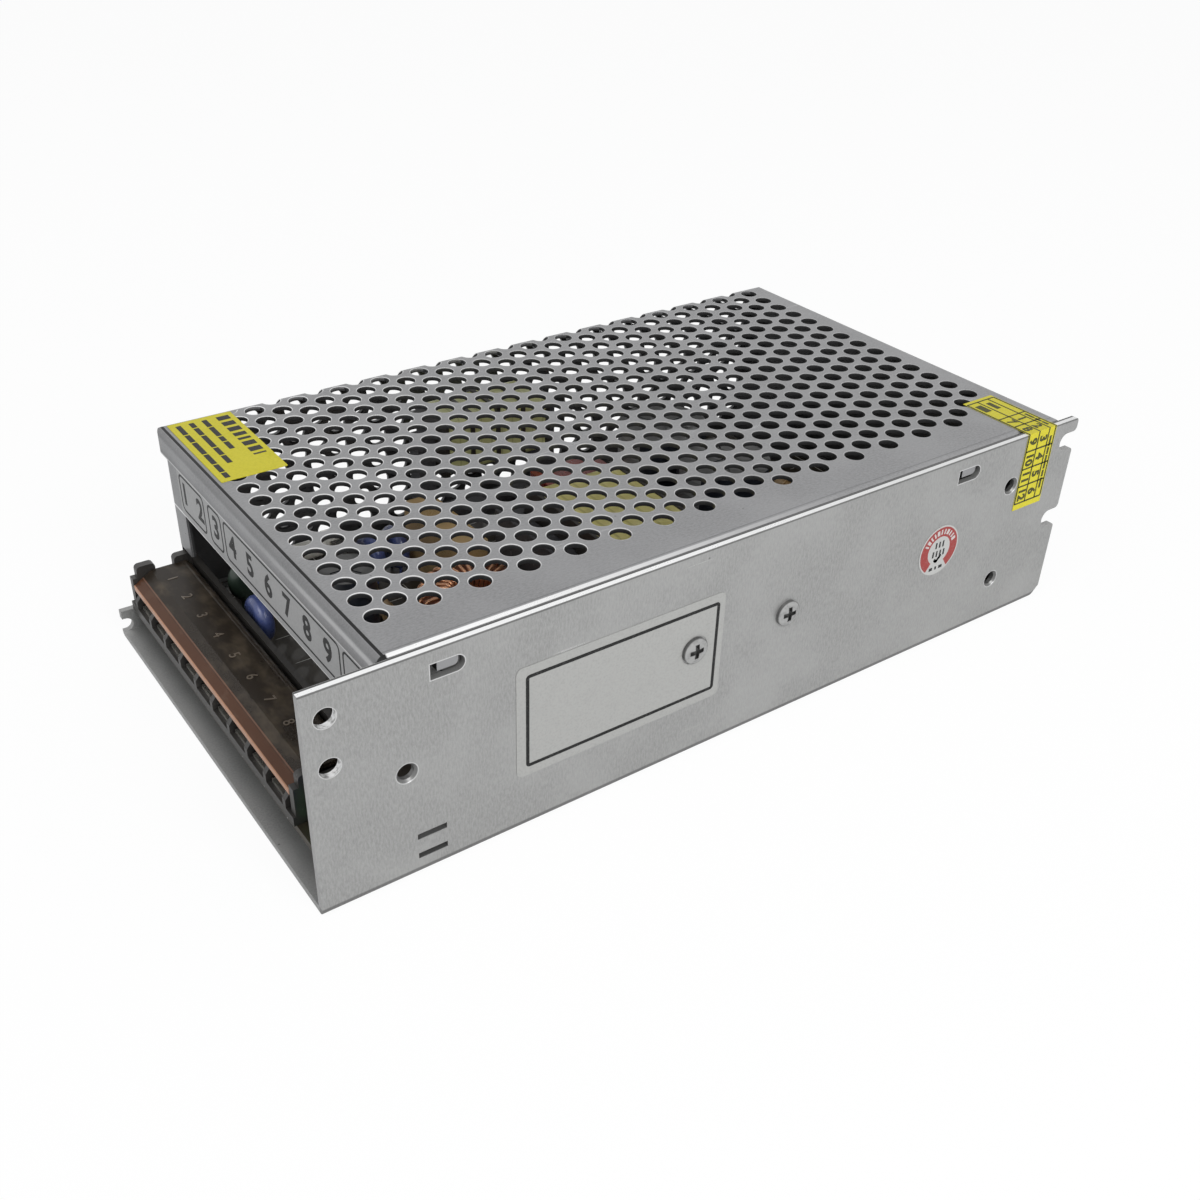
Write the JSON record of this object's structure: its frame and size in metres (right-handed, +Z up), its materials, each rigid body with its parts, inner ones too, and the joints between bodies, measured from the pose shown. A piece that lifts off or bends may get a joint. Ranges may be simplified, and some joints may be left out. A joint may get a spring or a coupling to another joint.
{
  "type": "enclosed switching power supply",
  "caption": "Enclosed mains power supply: folded aluminium chassis, perforated cover, screw terminals under a hinged clear cover, circuit board with its parts inside.",
  "frame": {"origin": "centre of the underside of the box around the whole part", "axes": "+X from the terminal end to the rear ears, -Y the plain chassis wall with the spec label, +Z up through the perforated top"},
  "size_m": [0.2, 0.1124, 0.0501],
  "materials": {
    "chassis_sheet": "satin mill finish",
    "cover_sheet": "satin galvanised look",
    "bright_steel": "nickel plated",
    "brass": "satin",
    "tin_plate": "tinned",
    "black_plastic": "fine moulded",
    "clear_amber": "clear, smoky amber",
    "board_laminate": "paper laminate",
    "white_film": "thin film",
    "grey_rubber": "matte",
    "steel_bar": "plated",
    "package_black": "moulded",
    "ferrite": "matte",
    "bobbin_black": "moulded",
    "yellow_tape": "taped",
    "powder_core": "coated",
    "copper_wire": "enamelled",
    "can_sleeve": "sleeved",
    "beige_box": "moulded",
    "red_dipped": "dipped",
    "blue_disc": "dipped",
    "green_disc": "dipped",
    "fuse_body": "fired",
    "resistor_body": "lacquered",
    "blue_plastic": "moulded",
    "white_plastic": "moulded",
    "green_lens": "diffuse lens",
    "label_silver": "satin foil",
    "label_white": "smooth",
    "label_red": "smooth",
    "label_yellow": "smooth",
    "green_tape": "taped"
  },
  "bodies": {
    "case": {"chassis": "chassis_sheet", "mesh_cover": "cover_sheet", "cover_screws": "bright_steel", "insulating_film": "white_film", "board_standoffs": "brass", "circuit_board": "board_laminate", "board_screws": "bright_steel", "terminal_block": "black_plastic", "terminal_contacts": "tin_plate", "terminal_clamps": "tin_plate", "terminal_screws": "bright_steel", "trimmer_body": "blue_plastic", "indicator_lamp": "green_lens", "thermal_pad": "grey_rubber", "switching_transistors": "package_black", "output_rectifier": "package_black", "clamp_bar": "steel_bar", "wall_screws": "bright_steel", "main_core": "ferrite", "main_bobbin": "bobbin_black", "main_winding": "yellow_tape", "ring_core": "powder_core", "ring_winding": "copper_wire", "line_choke_core": "ferrite", "line_choke_bobbin": "black_plastic", "line_choke_winding": "green_tape", "drive_core": "ferrite", "drive_winding": "yellow_tape", "input_capacitors": "can_sleeve", "output_capacitors": "can_sleeve", "film_capacitor": "red_dipped", "line_capacitor": "beige_box", "safety_capacitors": "blue_disc", "bridge_rectifier": "package_black", "fuse": "fuse_body", "fuse_clips": "tin_plate", "thermistor": "green_disc", "control_chip": "package_black", "signal_transistors": "package_black", "resistors": "resistor_body", "small_capacitors": "can_sleeve", "legend_strip": "label_white", "spec_label": "label_silver", "round_seal": "label_red", "top_label": "label_yellow", "dated_seal": "label_yellow"},
    "clear_lid": {"terminal_cover": "clear_amber"},
    "adjuster": {"trimmer_rotor": "white_plastic"}
  },
  "joints": [
    {"name": "clear_lid_hinge", "type": "hinge", "parent": "case", "child": "clear_lid", "pos_m": [-0.084, 0, 0.016], "axis": [0, 1, 0], "range_deg": [0, 80]},
    {"name": "adjuster_turn", "type": "hinge", "parent": "case", "child": "adjuster", "pos_m": [-0.091, -0.0465, 0.011], "axis": [0, 0, 1], "range_deg": [-135, 135]}
  ]
}
